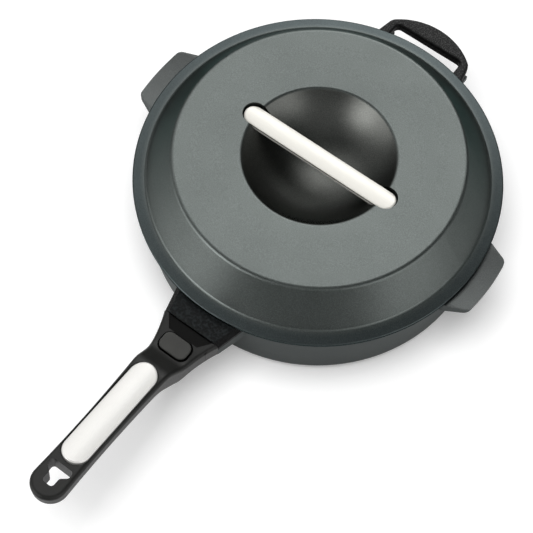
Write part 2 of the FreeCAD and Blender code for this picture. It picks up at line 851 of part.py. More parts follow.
def make_helper_handle():
    body = new_body("helper_handle")
    inner = rim_radius + helper_rim_gap
    root_y = root(inner * inner - helper_root_half * helper_root_half)
    slot_y = root(inner * inner - slot_half * slot_half)
    bow_centre = helper_reach - helper_bow
    tip_y = bow_centre + root(helper_bow * helper_bow - helper_tip_half * helper_tip_half)
    pad(body, add_loop(new_sketch(body, "XY_Plane", helper_low), [
        (helper_root_half, root_y), (helper_tip_half, tip_y, helper_bow, 1), (-helper_tip_half, tip_y),
        (-helper_root_half, root_y, inner, -1), (-slot_half, slot_y), (-slot_half, slot_reach),
        (slot_half, slot_reach), (slot_half, slot_y, inner, -1)]), helper_thick)
    soften(body, helper_corner, lambda edge: upright_at(edge, helper_tip_half.number, tip_y.number))
    soften(body, slot_corner, lambda edge: upright_at(edge, slot_half.number, slot_reach.number))
    soften(body, helper_round, lambda edge: (
        flat_at(edge, helper_top.number) or flat_at(edge, helper_low.number))
        and edge.BoundBox.YMax > ear_reach.number)
    holes(body, both_sides(ear_screw_x, ear_screw_y), shank_bore, helper_low, ear_thread, True)
    return keep(body)


def make_helper_screws():
    low = helper_low - ear_thick
    shank = (screw_radius, ear_thick + ear_thread + washer_thick - seat_gap)
    screws = []
    washers = []
    for index, (x, y) in enumerate(both_sides(ear_screw_x, ear_screw_y)):
        screws.append(screw_at(f"helper_screw_{index}", pan_frame, x, y, low - washer_thick, shank,
                               (head_radius, head_height), (socket_radius, socket_depth)))
        washers.append(washer_at(f"helper_washer_{index}", pan_frame, x, y, low))
    group("helper_screws", screws)
    group("helper_washers", washers)


def make_lid_shell():
    body = new_body("lid_shell")
    slope = (foot_radius - plateau_radius) / (plateau_height - foot_height)
    skin = lid_wall * root(1 + slope * slope)
    ring_outer = inner_rim - ring_gap
    ring_inner = ring_outer - ring_wall
    ring_top = foot_height - (ring_inner - foot_radius + skin) / slope
    under_bowl = bowl_radius + lid_wall
    under_rise = bowl_radius - recess_depth + lid_wall
    under_radius = root(under_bowl * under_bowl - under_rise * under_rise)
    turn(body, add_loop(new_sketch(body, "XZ_Plane"), [
        (0, bowl_low - lid_wall, under_bowl, 1), (under_radius, recess_height - lid_wall),
        (plateau_radius - skin + lid_wall * slope, plateau_height - lid_wall), (ring_inner, ring_top),
        (ring_inner, brim_low - ring_depth), (ring_outer, brim_low - ring_depth), (ring_outer, brim_low),
        (brim_radius, brim_low), (brim_radius, brim_low + brim_edge), (foot_radius, foot_height),
        (plateau_radius, plateau_height), (recess_radius, recess_height, bowl_radius, -1),
        (0, bowl_low)]))
    for height in (brim_low, brim_low + brim_edge):
        soften(body, brim_round, lambda edge: ring_at(edge, brim_radius.number, height.number))
    soften(body, plateau_round, lambda edge: ring_at(edge, plateau_radius.number, plateau_height.number))
    soften(body, foot_round, lambda edge: ring_at(edge, foot_radius.number, foot_height.number))
    soften(body, recess_round, lambda edge: ring_at(edge, recess_radius.number, recess_height.number))

    # Bosses that carry the ends of the grip bar, cleared from the bowl, and the pockets in them
    boss = [(boss_start, -boss_half_width), (boss_end, -boss_half_width),
            (boss_end, boss_half_width), (boss_start, boss_half_width)]
    sketch = new_sketch(body, "XY_Plane", boss_low)
    add_loop(sketch, boss)
    add_loop(sketch, mirrored(boss))
    pad(body, sketch, recess_height - lid_wall + boss_join - boss_low)
    bowl = [(0, bowl_low, bowl_radius, 1), (recess_radius, recess_height),
            (recess_radius, plateau_height + overrun), (0, plateau_height + overrun)]
    turn(body, add_loop(new_sketch(body, "XZ_Plane"), bowl), "PartDesign::Groove")
    pocket = capsule_across(bar_half_length, bar_half_width, bar_pocket_gap)
    cut(body, add_loop(new_sketch(body, "XY_Plane", plateau_height + overrun), pocket),
        plateau_dish + bar_sink + bar_side + overrun)
    holes(body, both_sides(bar_screw_place, 0), shank_bore, boss_low, boss_floor, True)
    return keep(body)


def crown_radius(half, rise):
    return (half * half + rise * rise) / (2 * rise)


def make_lid_grip_bar():
    body = new_body("lid_grip_bar")
    crown = crown_radius(bar_half_width, bar_crown)
    sketch = new_sketch(body, "YZ_Plane", -bar_half_length)
    add_loop(sketch, [
        (-bar_half_width, bar_low), (bar_half_width, bar_low), (bar_half_width, bar_edge, crown, 1),
        (-bar_half_width, bar_edge)])
    pad(body, sketch, 2 * bar_half_length)
    sketch = new_sketch(body, "XY_Plane", bar_edge + bar_crown + overrun)
    reach = bar_half_length + overrun
    wide = bar_half_width + overrun
    add_loop(sketch, [(-reach, -wide), (reach, -wide), (reach, wide), (-reach, wide)])
    add_loop(sketch, capsule_across(bar_half_length, bar_half_width))
    cut(body, sketch, bar_side + bar_crown + 2 * overrun)
    soften(body, bar_chamfer, lambda edge: above(edge, bar_edge.number), "Chamfer")
    soften(body, bar_chamfer, lambda edge: flat_at(edge, bar_low.number))
    holes(body, both_sides(bar_screw_place, 0), shank_bore, bar_low, bar_thread, True)
    return keep(body)


def make_lid_screws():
    shank = (screw_radius, boss_floor + bar_thread + washer_thick - seat_gap)
    screws = []
    washers = []
    for index, (x, y) in enumerate(both_sides(bar_screw_place, 0)):
        screws.append(screw_at(f"lid_screw_{index}", pan_frame, x, y, boss_low - washer_thick, shank,
                               (head_radius, head_height), (socket_radius, socket_depth)))
        washers.append(washer_at(f"lid_washer_{index}", pan_frame, x, y, boss_low))
    group("lid_grip_screws", screws)
    group("lid_grip_washers", washers)


def side_line(start, depth, grip_depth):
    """The handle's side line at a depth: the four corners of its S-bend and its far end."""
    along = start - neck_start - grip_depth * grip_sine
    down = depth - grip_depth * grip_cosine
    lift = along * grip_sine + down * grip_cosine
    ramp_share = 1 + lift / (ramp_rise * grip_cosine - ramp_run * grip_sine)
    foot = (-start, -depth)
    low = (foot[0] - bend_run, foot[1] + bend_rise)
    high = (low[0] - ramp_share * ramp_run, low[1] + ramp_share * ramp_rise)
    crest = (high[0] - crest_run, high[1] + crest_rise)
    far = -tail_reach - tail_radius - overrun
    return foot, low, high, crest, (far, crest[1] + (crest[0] - far) * grip_climb / grip_run)


def shell_pad(name, top, bottom):
    """A half of the handle between two side lines, trimmed to the handle's plan."""
    body = new_body(name, joint)
    foot, low, high, crest, end = top
    below_foot, below_low, below_high, below_crest, below_end = bottom
    wide = joint_half + overrun
    sketch = new_sketch(body, "YZ_Plane", -wide)
    add_loop(sketch, [
        (-front_gap, foot[1]), (*foot, neck_bend, -1), low, (*high, neck_bend, 1), crest, end,
        below_end, (*below_crest, neck_bend, -1), below_high, (*below_low, neck_bend, 1), below_foot,
        (-front_gap, below_foot[1])])
    pad(body, sketch, 2 * wide)
    sketch = new_sketch(body, "XY_Plane", below_foot[1] - overrun)
    outside = wide + overrun
    far = -end[0] + overrun
    add_loop(sketch, [(-outside, overrun), (outside, overrun), (outside, -far), (-outside, -far)])
    add_loop(sketch, handle_plan())
    cut(body, sketch, end[1] - below_foot[1] + 2 * overrun, up=True)
    return body


def wall_edges(body, upward):
    """The edges where the handle's walls meet its top, or its underside, but not at the joint face."""
    shape = body.Tip.Shape

    def tilt(face):
        low_u, high_u, low_v, high_v = face.ParameterRange
        return face.normalAt((low_u + high_u) / 2, (low_v + high_v) / 2).z * upward

    def chosen(edge):
        tilts = [tilt(face) for face in shape.ancestorsOfType(edge, Part.Face)]
        at_joint = near(edge.BoundBox.YMin, -front_gap.number)
        return max(tilts) > level_share and abs(min(tilts)) < touch and not at_joint

    return chosen


def make_handle_upper_shell():
    body = shell_pad("handle_upper_shell", side_line(neck_start, 0, 0),
                     side_line(split_start, shell_split, grip_split))
    soften(body, top_round, wall_edges(body, 1))
    cut(body, add_loop(new_sketch(body, "XY_Plane", overrun, grip), hanging_hole()), 2 * grip_thick)
    round_hanging_hole(body)
    cut(body, add_loop(new_sketch(body, "XY_Plane", overrun, grip), capsule(
        inlay_half, inlay_near, inlay_far, inlay_gap)), inlay_sink + overrun)
    cut(body, add_loop(new_sketch(body, "XY_Plane"), [
        (-trough_half, 0), (trough_half, 0), (trough_end_half, -trough_reach),
        (-trough_end_half, -trough_reach)]), trough_depth)
    opening = rounded_plan(button_half_wide + button_gap, button_half_long + button_gap,
                           button_corner + button_gap, button_place)
    cut(body, add_loop(new_sketch(body, "XY_Plane", overrun), opening), skin_thick + 2 * overrun)

    # Rooms for the button, the collar and the tongue, from below
    flange_room = flange_lip + button_gap
    room = box_loop(button_half_wide + flange_room, button_near - flange_room, button_far + flange_room)
    cut(body, add_loop(new_sketch(body, "XY_Plane", -shell_split), room), shell_split - skin_thick, up=True)
    collar_half = tongue_half + slide_gap + collar_wall + fit_gap
    collar_top = cap_thick - slide_gap - collar_wall - fit_gap
    mouth = box_loop(collar_half, 0, button_near)
    cut(body, add_loop(new_sketch(body, "XY_Plane", -shell_split), mouth),
        shell_split - collar_top, up=True)
    slot = box_loop(tongue_half + seat_gap, button_place, tongue_reach + seat_gap)
    cut(body, add_loop(new_sketch(body, "XY_Plane", -shell_split), slot),
        shell_split - cap_thick + seat_gap, up=True)
    holes(body, stud_places, stud_radius + fit_gap, -grip_split, grip_split, True, grip)
    return keep(body)


def make_handle_lower_shell():
    body = shell_pad("handle_lower_shell", side_line(split_start, shell_split, grip_split),
                     side_line(under_start, handle_thick, grip_thick))
    soften(body, under_round, wall_edges(body, -1))
    cut(body, add_loop(new_sketch(body, "XY_Plane", overrun, grip), hanging_hole()), 2 * grip_thick)
    round_hanging_hole(body)
    wide = leaf_half + slide_gap
    room = box_loop(wide, leaf_near - overrun, leaf_clamp)
    cut(body, add_loop(new_sketch(body, "XY_Plane", -shell_split), room), leaf_room - shell_split)
    seat = box_loop(wide, leaf_clamp - overrun, leaf_far + slide_gap)
    cut(body, add_loop(new_sketch(body, "XY_Plane", -shell_split), seat), leaf_low - shell_split)
    holes(body, both_sides(pin_x, -pin_y), pin_radius + fit_gap, -leaf_low, pin_length, False)
    holes(body, stud_places, stud_radius + fit_gap, -grip_split, stud_depth - grip_split, False, grip)
    holes(body, stud_places, shank_bore, -grip_thick, grip_thick - grip_split, True, grip)
    holes(body, stud_places, head_radius + seat_gap, -grip_thick, head_sink, True, grip)
    return keep(body)


def make_handle_inlay():
    body = new_body("handle_inlay", grip_on_pan)
    crown = crown_radius(inlay_half, inlay_crown)
    sketch = new_sketch(body, "XZ_Plane", inlay_near)
    add_loop(sketch, [
        (-inlay_half, -inlay_sink), (inlay_half, -inlay_sink), (inlay_half, inlay_proud, crown, 1),
        (-inlay_half, inlay_proud)])
    pad(body, sketch, inlay_far - inlay_near)
    sketch = new_sketch(body, "XY_Plane", inlay_proud + inlay_crown + overrun)
    add_loop(sketch, box_loop(inlay_half + overrun, inlay_near - overrun, inlay_far + overrun))
    add_loop(sketch, capsule(inlay_half, inlay_near, inlay_far))
    cut(body, sketch, inlay_proud + inlay_crown + inlay_sink + 2 * overrun)
    soften(body, inlay_chamfer, lambda edge: above(edge, inlay_proud.number), "Chamfer")
    sketch = new_sketch(body, "XY_Plane", -stud_depth)
    for x, y in stud_places:
        add_circle(sketch, x, y, stud_radius)
    pad(body, sketch, stud_depth - inlay_sink)
    holes(body, stud_places, shank_bore, -stud_depth, stud_thread, True)
    return keep(body)


def make_handle_screws():
    seat = head_sink - grip_thick
    shank = (screw_radius, grip_thick - head_sink - stud_depth + stud_thread - seat_gap)
    group("handle_screws", [
        screw_at(f"handle_screw_{index}", grip_on_pan, x, y, seat, shank,
                 (head_radius, head_height), (socket_radius, socket_depth))
        for index, (x, y) in enumerate(stud_places)])


def make_release_button():
    body = new_body("release_button", joint)
    flange_top = -skin_thick - fit_gap
    flange_low = flange_top - flange_thick
    plan = rounded_plan(button_half_wide, button_half_long, button_corner, button_place)
    pad(body, add_loop(new_sketch(body, "XY_Plane", flange_low), plan), button_proud - flange_low)
    soften(body, button_round, lambda edge: flat_at(edge, button_proud.number))
    flange = box_loop(button_half_wide + flange_lip, button_near - flange_lip, button_far + flange_lip)
    pad(body, add_loop(new_sketch(body, "XY_Plane", flange_low), flange), flange_thick)
    leg = [(leg_near, -leg_start), (leg_far, -leg_start), (leg_far, -leg_end), (leg_near, -leg_end)]
    sketch = new_sketch(body, "XY_Plane", fit_gap - leaf_top)
    add_loop(sketch, leg)
    add_loop(sketch, mirrored(leg))
    pad(body, sketch, leaf_top - fit_gap + flange_low)
    return keep(body)


def make_socket_collar():
    body = new_body("socket_collar", joint)
    inner = tongue_half + slide_gap
    outer = inner + collar_wall
    low, high = -tongue_low - slide_gap, -cap_thick + slide_gap
    sketch = new_sketch(body, "XZ_Plane", collar_start)
    add_loop(sketch, [
        (-outer, -shell_split), (outer, -shell_split), (outer, high + collar_wall),
        (-outer, high + collar_wall)])
    add_loop(sketch, [(-inner, low), (inner, low), (inner, high), (-inner, high)])
    pad(body, sketch, collar_depth)
    return keep(body)


def make_latch_spring():
    body = new_body("latch_spring", joint)
    sketch = new_sketch(body, "XY_Plane", -leaf_low)
    add_loop(sketch, [
        (leaf_nose_half, -leaf_near), (leaf_nose_half, -leaf_step), (leaf_half, -leaf_step),
        (leaf_half, -leaf_far), (-leaf_half, -leaf_far), (-leaf_half, -leaf_step),
        (-leaf_nose_half, -leaf_step), (-leaf_nose_half, -leaf_near)])
    for x, y in both_sides(pin_x, -pin_y):
        add_circle(sketch, x, y, pin_radius + fit_gap)
    pad(body, sketch, leaf_thick)
    hook = box_loop(hook_half, hook_near, hook_far)
    pad(body, add_loop(new_sketch(body, "XY_Plane", -leaf_top), hook), leaf_top - hook_top)
    return keep(body)


def make_latch_screws():
    shank = (pin_radius, leaf_thick + pin_length - seat_gap)
    group("latch_screws", [
        screw_at(f"latch_screw_{index}", joint, x, y, -leaf_top, shank,
                 (pin_head_radius, pin_head_height), (pin_socket_radius, pin_socket_depth), True)
        for index, (x, y) in enumerate(both_sides(pin_x, -pin_y))])


make_pan_body()
make_induction_disc()
make_bracket_cap()
make_handle_tongue()
make_bracket_screws()
make_helper_handle()
make_helper_screws()
make_lid_shell()
make_lid_grip_bar()
make_lid_screws()
make_handle_upper_shell()
make_handle_lower_shell()
make_handle_inlay()
make_handle_screws()
make_release_button()
make_socket_collar()
make_latch_spring()
make_latch_screws()

doc.recompute()
for item in doc.Objects:
    if "Invalid" in item.State or "Error" in item.State:
        raise RuntimeError(f"{item.Label} is {item.State}")
for node in nodes:
    if node.Shape.isNull() or not node.Shape.isValid():
        raise RuntimeError(f"{node.Label} has no sound shape")
for node in nodes:
    node.Shape.exportStep(f"parts/{node.Label}.step")
    print(node.Label, len(node.Shape.Solids), "solids", round(node.Shape.Volume / 1000, 2), "cm3")
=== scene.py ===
import math

import bpy
from mathutils import Matrix, Vector


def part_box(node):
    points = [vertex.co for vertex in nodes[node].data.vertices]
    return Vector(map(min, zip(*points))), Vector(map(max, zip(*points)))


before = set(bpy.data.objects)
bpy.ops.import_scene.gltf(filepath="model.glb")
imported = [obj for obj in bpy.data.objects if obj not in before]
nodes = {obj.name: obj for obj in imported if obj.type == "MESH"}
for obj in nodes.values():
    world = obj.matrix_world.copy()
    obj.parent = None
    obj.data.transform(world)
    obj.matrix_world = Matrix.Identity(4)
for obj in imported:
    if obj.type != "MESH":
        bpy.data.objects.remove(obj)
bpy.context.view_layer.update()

scene = bpy.context.scene
scene.view_settings.view_transform = "Standard"

# Places that the materials follow to paint shade, in metres, from the boxes of the nodes
lid_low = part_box("lid_shell")[0]
bar_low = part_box("lid_grip_bar")[0]
button_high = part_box("release_button")[1]
handle_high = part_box("handle_upper_shell")[1]

# Painted shade: the lid's coating is darker below this height, on the brim
brim_rise = 0.0103
brim_blend = 0.0014
brim_top = lid_low.z + brim_rise

# Painted shade: the lid's coating is darker inside this radius, in the bowl
bowl_radius = 0.0587
bowl_blend = 0.0020

# Painted shade in the handle's trough, below this drop from the button's top
trough_drop = 0.0032
trough_blend = 0.0008
trough_top = button_high.z - trough_drop
trough_end = button_high.y
trough_end_blend = 0.0013
trough_wall = 0.0039
trough_reach = handle_high.x - trough_wall

# Painted shade: the button is black below this drop from its top face
button_edge = 0.0005
button_blend = 0.0008
button_face = button_high.z - button_edge

# Painted shade: a dark line round the grip bar's side, in place of the shade along its edge
shade_line_rise = 0.0033
shade_line_height = 0.0009
shade_line_low = bar_low.z + shade_line_rise

# Spread of a noise texture's values that the ramps use
noise_low = 0.3
noise_high = 0.7

# Places of the Mix node's colour sockets among its inputs and outputs
mix_colour_inputs = (6, 7)
mix_colour_output = 2


# Node helpers
def link(tree, socket, target):
    tree.links.new(socket, target)


def put(tree, socket, value):
    """Gives an input a plain value or the output of another node."""
    if isinstance(value, bpy.types.NodeSocket):
        link(tree, value, socket)
    else:
        socket.default_value = value


def add(tree, kind, inputs=None, **settings):
    """Adds a node with its settings and inputs."""
    node = tree.nodes.new(kind)
    for name, value in settings.items():
        setattr(node, name, value)
    for key, value in (inputs or {}).items():
        put(tree, node.inputs[key], value)
    return node


def math_node(tree, operation, first, second=0.0):
    return add(tree, "ShaderNodeMath", {0: first, 1: second}, operation=operation).outputs[0]


def ramp(tree, value, low, high, to_low=0.0, to_high=1.0):
    """A smooth step of a value."""
    limits = {"From Min": low, "From Max": high, "To Min": to_low, "To Max": to_high}
    node = add(tree, "ShaderNodeMapRange", {"Value": value, **limits}, interpolation_type="SMOOTHSTEP")
    return node.outputs[0]


def noise_ramp(tree, value, to_low=0.0, to_high=1.0):
    return ramp(tree, value, noise_low, noise_high, to_low, to_high)


def mix(tree, share, first, second):
    """A blend of two colours, each a tone or a socket."""
    node = add(tree, "ShaderNodeMix", {0: share}, data_type="RGBA")
    for index, value in zip(mix_colour_inputs, (first, second)):
        put(tree, node.inputs[index], (*value, 1.0) if isinstance(value, tuple) else value)
    return node.outputs[mix_colour_output]


def scaled(tone, factor):
    return tuple(factor * value for value in tone)


def split(tree, vector):
    """The X, Y and Z of a vector."""
    return add(tree, "ShaderNodeSeparateXYZ", {0: vector}).outputs


def noise(tree, place, scale, detail=2.0, rough=0.5):
    inputs = {"Vector": place, "Scale": scale, "Detail": detail, "Roughness": rough}
    return add(tree, "ShaderNodeTexNoise", inputs).outputs["Fac"]


def bump(tree, shader, height, strength, distance):
    node = add(tree, "ShaderNodeBump", {"Height": height, "Strength": strength, "Distance": distance})
    link(tree, node.outputs[0], shader.inputs["Normal"])


def new_material(name):
    material = bpy.data.materials.new(name)
    material.use_nodes = True
    tree = material.node_tree
    tree.nodes.clear()
    output = add(tree, "ShaderNodeOutputMaterial")
    shader = add(tree, "ShaderNodeBsdfPrincipled")
    link(tree, shader.outputs[0], output.inputs[0])
    place = add(tree, "ShaderNodeTexCoord").outputs["Object"]
    return material, tree, shader, place


# Materials
def coating(name, tone, brim_shade_tone, bowl_shade_tone, edge_tone, rough):
    """Grey coating with a fine metal speckle, smoother inside the bowl's radius.

    The brim and the bowl get darker tones as painted shade, and edge_tone tints what is seen at a low
    angle.
    """
    material, tree, shader, place = new_material(name)
    speckle = noise(tree, place, scale=1500.0, rough=0.7)
    cloud = noise(tree, place, scale=28.0, detail=3.0)
    x, y, z = split(tree, place)
    flat = add(tree, "ShaderNodeCombineXYZ", {0: x, 1: y}).outputs[0]
    radius = add(tree, "ShaderNodeVectorMath", {0: flat}, operation="LENGTH").outputs["Value"]
    # Painted shade: darker tones on the brim and in the bowl
    above_brim = ramp(tree, z, brim_top, brim_top + brim_blend)
    outside_bowl = ramp(tree, radius, bowl_radius, bowl_radius + bowl_blend)
    painted = mix(tree, above_brim, brim_shade_tone, tone)
    painted = mix(tree, outside_bowl, bowl_shade_tone, painted)
    grain = ramp(tree, speckle, low=0.35, high=0.75, to_low=0.84, to_high=1.34)
    patchy = math_node(tree, "MULTIPLY", grain, noise_ramp(tree, cloud, to_low=1.0, to_high=0.94))
    painted = add(tree, "ShaderNodeVectorMath", {0: painted, "Scale": patchy}, operation="SCALE").outputs[0]
    link(tree, painted, shader.inputs["Base Color"])
    bowl_gloss = ramp(tree, outside_bowl, 0.0, 1.0, to_low=0.86, to_high=1.0)
    speckle_gloss = noise_ramp(tree, speckle, to_low=0.93, to_high=1.1)
    gloss = math_node(tree, "MULTIPLY", bowl_gloss, rough)
    link(tree, math_node(tree, "MULTIPLY", gloss, speckle_gloss), shader.inputs["Roughness"])
    shader.inputs["Metallic"].default_value = 0.98
    shader.inputs["Specular Tint"].default_value = (*edge_tone, 1.0)
    bump(tree, shader, speckle, strength=0.15, distance=0.0003)
    return material


def grained_plastic(name, tone, scale, depth):
    """Black phenolic resin with a coarse moulded grain on top and sides darkened as painted shade."""
    worn_share = 6.0
    side_shade_share = 0.2
    fine_scale = 2.2 * scale
    fine_height = 0.6
    material, tree, shader, place = new_material(name)
    voronoi = add(tree, "ShaderNodeTexVoronoi", {"Vector": place, "Scale": scale}, feature="SMOOTH_F1")
    fine = noise(tree, place, fine_scale)
    raised = math_node(tree, "MULTIPLY", fine, fine_height)
    height = math_node(tree, "ADD", voronoi.outputs["Distance"], raised)
    worn = ramp(tree, height, low=0.62, high=1.0, to_low=0.0, to_high=0.8)
    facing_up = split(tree, add(tree, "ShaderNodeTexCoord").outputs["Normal"])[2]
    top = ramp(tree, facing_up, low=0.80, high=0.95)
    grain = mix(tree, worn, tone, scaled(tone, worn_share))
    # Painted shade: faces that don't face up keep a fifth of the tone, without the grain
    link(tree, mix(tree, top, scaled(tone, side_shade_share), grain), shader.inputs["Base Color"])
    link(tree, noise_ramp(tree, fine, to_low=0.5, to_high=0.62), shader.inputs["Roughness"])
    shader.inputs["Specular IOR Level"].default_value = 0.14
    bump(tree, shader, height, strength=0.7, distance=depth)
    return material


def satin_plastic(name, tone, rough, shade):
    """Satin resin with a very fine grain; shade gives the share of the tone, and of the specular, that
    places keep under painted shade.
    """
    light_share = 1.35
    shade_share = 0.15
    specular = 0.22
    smoother = 0.04
    rougher = 0.05
    material, tree, shader, place = new_material(name)
    fine = noise(tree, place, scale=1500.0)
    cloud = noise(tree, place, scale=60.0, detail=3.0)
    painted = mix(tree, noise_ramp(tree, cloud), tone, scaled(tone, light_share))
    kept = shade(tree, split(tree, place))
    # Painted shade: where kept falls, the tone darkens towards a dark share and the specular falls with it
    link(tree, mix(tree, kept, scaled(tone, shade_share), painted), shader.inputs["Base Color"])
    link(tree, noise_ramp(tree, fine, rough - smoother, rough + rougher), shader.inputs["Roughness"])
    link(tree, math_node(tree, "MULTIPLY", kept, specular), shader.inputs["Specular IOR Level"])
    bump(tree, shader, fine, strength=0.18, distance=0.0002)
    return material


def trough_shade(tree, axes):
    """Painted shade in the trough between the joint and the button."""
    trough_shade_strength = 0.75
    x, y, z = axes
    below = ramp(tree, z, trough_top - trough_blend, trough_top, to_low=1.0, to_high=0.0)
    near_joint = ramp(tree, y, trough_end - trough_end_blend, trough_end)
    inside = math_node(tree, "LESS_THAN", math_node(tree, "ABSOLUTE", x), trough_reach)
    deep = math_node(tree, "MULTIPLY", math_node(tree, "MULTIPLY", below, near_joint), inside)
    return math_node(tree, "SUBTRACT", 1.0, math_node(tree, "MULTIPLY", deep, trough_shade_strength))


def button_shade(tree, axes):
    """Painted shade: black below the button's top face, on its sides in the gap."""
    return ramp(tree, axes[2], button_face - button_blend, button_face)


def brushed_metal(name, tone, metal, rough, stretch, drawn_share=0.86, shade_line=None):
    """Metal with fine lines along one axis; an optional pair gives the low and high edge of a dark line of
    painted shade round it.
    """
    shade_line_share = 0.05
    cloud_share = 0.5
    smoother = 0.05
    rougher = 0.06
    material, tree, shader, place = new_material(name)
    drawn = add(tree, "ShaderNodeMapping", {"Vector": place, "Scale": stretch}).outputs[0]
    lines = noise(tree, drawn, scale=1.0, detail=3.0)
    cloud = noise(tree, place, scale=45.0)
    painted = mix(tree, noise_ramp(tree, lines), scaled(tone, drawn_share), tone)
    # Painted shade: a dark line between two heights
    if shade_line:
        height = split(tree, place)[2]
        above = math_node(tree, "GREATER_THAN", height, shade_line[0])
        below = math_node(tree, "LESS_THAN", height, shade_line[1])
        on_shade_line = math_node(tree, "MULTIPLY", above, below)
        painted = mix(tree, on_shade_line, painted, scaled(tone, shade_line_share))
    link(tree, painted, shader.inputs["Base Color"])
    wide = math_node(tree, "ADD", lines, math_node(tree, "MULTIPLY", cloud, cloud_share))
    gloss = ramp(tree, wide, low=0.4, high=1.0, to_low=rough - smoother, to_high=rough + rougher)
    link(tree, gloss, shader.inputs["Roughness"])
    shader.inputs["Metallic"].default_value = metal
    bump(tree, shader, lines, strength=0.06, distance=0.0001)
    return material


def spun_metal(name, tone, rough):
    """Metal with turning rings round the Z axis."""
    ring_share = 0.8
    gloss_spread = 0.05
    material, tree, shader, place = new_material(name)
    inputs = {"Vector": place, "Scale": 260.0, "Distortion": 1.2, "Detail": 2.0}
    wave = add(tree, "ShaderNodeTexWave", inputs, wave_type="RINGS", rings_direction="Z")
    rings = wave.outputs["Fac"]
    link(tree, mix(tree, rings, scaled(tone, ring_share), tone), shader.inputs["Base Color"])
    gloss = ramp(tree, rings, 0.0, 1.0, rough - gloss_spread, rough + gloss_spread)
    link(tree, gloss, shader.inputs["Roughness"])
    shader.inputs["Metallic"].default_value = 1.0
    bump(tree, shader, rings, strength=0.1, distance=0.0001)
    return material


lid_coating = coating(
    "lid_coating",
    tone=(0.098, 0.108, 0.104),
    # Painted shade: darker tones on the brim and in the bowl
    brim_shade_tone=(0.055, 0.065, 0.066),
    bowl_shade_tone=(0.077, 0.079, 0.074),
    edge_tone=(0.21, 0.25, 0.25),
    rough=0.38,
)
pan_tone = (0.062, 0.066, 0.065)
pan_coating = coating(
    "pan_coating",
    tone=pan_tone,
    brim_shade_tone=pan_tone,
    bowl_shade_tone=pan_tone,
    edge_tone=(0.58, 0.60, 0.60),
    rough=0.42,
)
bracket_grain = grained_plastic("bracket_grain", tone=(0.0020, 0.0024, 0.0025), scale=620.0, depth=0.0007)
helper_grain = grained_plastic("helper_grain", tone=(0.0098, 0.0098, 0.0098), scale=1100.0, depth=0.0004)
handle_plastic = satin_plastic(
    "handle_plastic",
    tone=(0.008, 0.008, 0.0075),
    rough=0.44,
    shade=trough_shade,
)
button_plastic = satin_plastic(
    "button_plastic",
    tone=(0.033, 0.033, 0.031),
    rough=0.50,
    shade=button_shade,
)
bar_metal = brushed_metal(
    "bar_aluminium",
    tone=(0.77, 0.755, 0.70),
    metal=0.12,
    rough=0.36,
    stretch=(70.0, 2600.0, 2600.0),
    drawn_share=0.96,
    # Painted shade line round the bar's side
    shade_line=(shade_line_low, shade_line_low + shade_line_height),
)
inlay_metal = brushed_metal(
    "inlay_aluminium",
    tone=(0.74, 0.73, 0.705),
    metal=0.12,
    rough=0.36,
    stretch=(2600.0, 70.0, 2600.0),
    drawn_share=0.96,
)
steel = brushed_metal(
    "steel",
    tone=(0.62, 0.62, 0.60),
    metal=1.0,
    rough=0.34,
    stretch=(900.0, 900.0, 2200.0),
)
spring_steel = brushed_metal(
    "spring_steel",
    tone=(0.34, 0.35, 0.38),
    metal=1.0,
    rough=0.30,
    stretch=(1800.0, 120.0, 1800.0),
)
disc_steel = spun_metal("disc_steel", tone=(0.60, 0.60, 0.58), rough=0.33)

# Each node's material and its slot in the record
finishes = {
    "pan_body": (pan_coating, "pan_coating"),
    "induction_disc": (disc_steel, "disc_steel"),
    "bracket_cap": (bracket_grain, "grained_plastic"),
    "handle_tongue": (steel, "steel"),
    "bracket_screws": (steel, "steel"),
    "bracket_washers": (steel, "steel"),
    "helper_handle": (helper_grain, "grained_plastic"),
    "helper_screws": (steel, "steel"),
    "helper_washers": (steel, "steel"),
    "lid_shell": (lid_coating, "lid_coating"),
    "lid_grip_bar": (bar_metal, "satin_aluminium"),
    "lid_grip_screws": (steel, "steel"),
    "lid_grip_washers": (steel, "steel"),
    "handle_upper_shell": (handle_plastic, "handle_plastic"),
    "handle_lower_shell": (handle_plastic, "handle_plastic"),
    "handle_inlay": (inlay_metal, "satin_aluminium"),
    "handle_screws": (steel, "steel"),
    "release_button": (button_plastic, "button_plastic"),
    "socket_collar": (steel, "steel"),
    "latch_spring": (spring_steel, "spring_steel"),
    "latch_screws": (steel, "steel"),
}
for name, (material, slot) in finishes.items():
    nodes[name].data.materials.clear()
    nodes[name].data.materials.append(material)

# Camera: seen from the handle's side, high above
camera_azimuth = math.radians(36.2154)
camera_elevation = math.radians(64.9138)
camera_roll = math.radians(0.6199)
camera_seat = (0.29664, -0.47173, 1.09014)


def view_axes(azimuth, elevation, roll):
    """The camera's right, up and back directions."""
    level_right = Vector((math.cos(azimuth), math.sin(azimuth), 0.0))
    level_back = Vector((math.sin(azimuth), -math.cos(azimuth), 0.0))
    back = level_back * math.cos(elevation) + Vector((0.0, 0.0, math.sin(elevation)))
    level_up = back.cross(level_right)
    right = level_right * math.cos(roll) + level_up * math.sin(roll)
    up = level_up * math.cos(roll) - level_right * math.sin(roll)
    return right, up, back


lens = bpy.data.cameras.new("camera")
lens.sensor_width = 36.0
lens.lens = 99.686
camera = bpy.data.objects.new("camera", lens)
scene.collection.objects.link(camera)
axes = Matrix(view_axes(camera_azimuth, camera_elevation, camera_roll)).transposed().to_4x4()
camera.matrix_world = Matrix.Translation(camera_seat) @ axes
scene.camera = camera

# The photograph's right and far directions on the floor, for the lights
light_turn = math.radians(32.5)
photo_right = Vector((math.cos(light_turn), math.sin(light_turn), 0.0))
photo_far = Vector((-math.sin(light_turn), math.cos(light_turn), 0.0))


def toward(direction):
    """A unit vector for a direction given as right, far and up of the photograph."""
    right, far, up = direction
    return (photo_right * right + photo_far * far + Vector((0.0, 0.0, up))).normalized()


# Floor
floor_reach = 8.0
floor_drop = 0.0004
floor_glow = 0.20


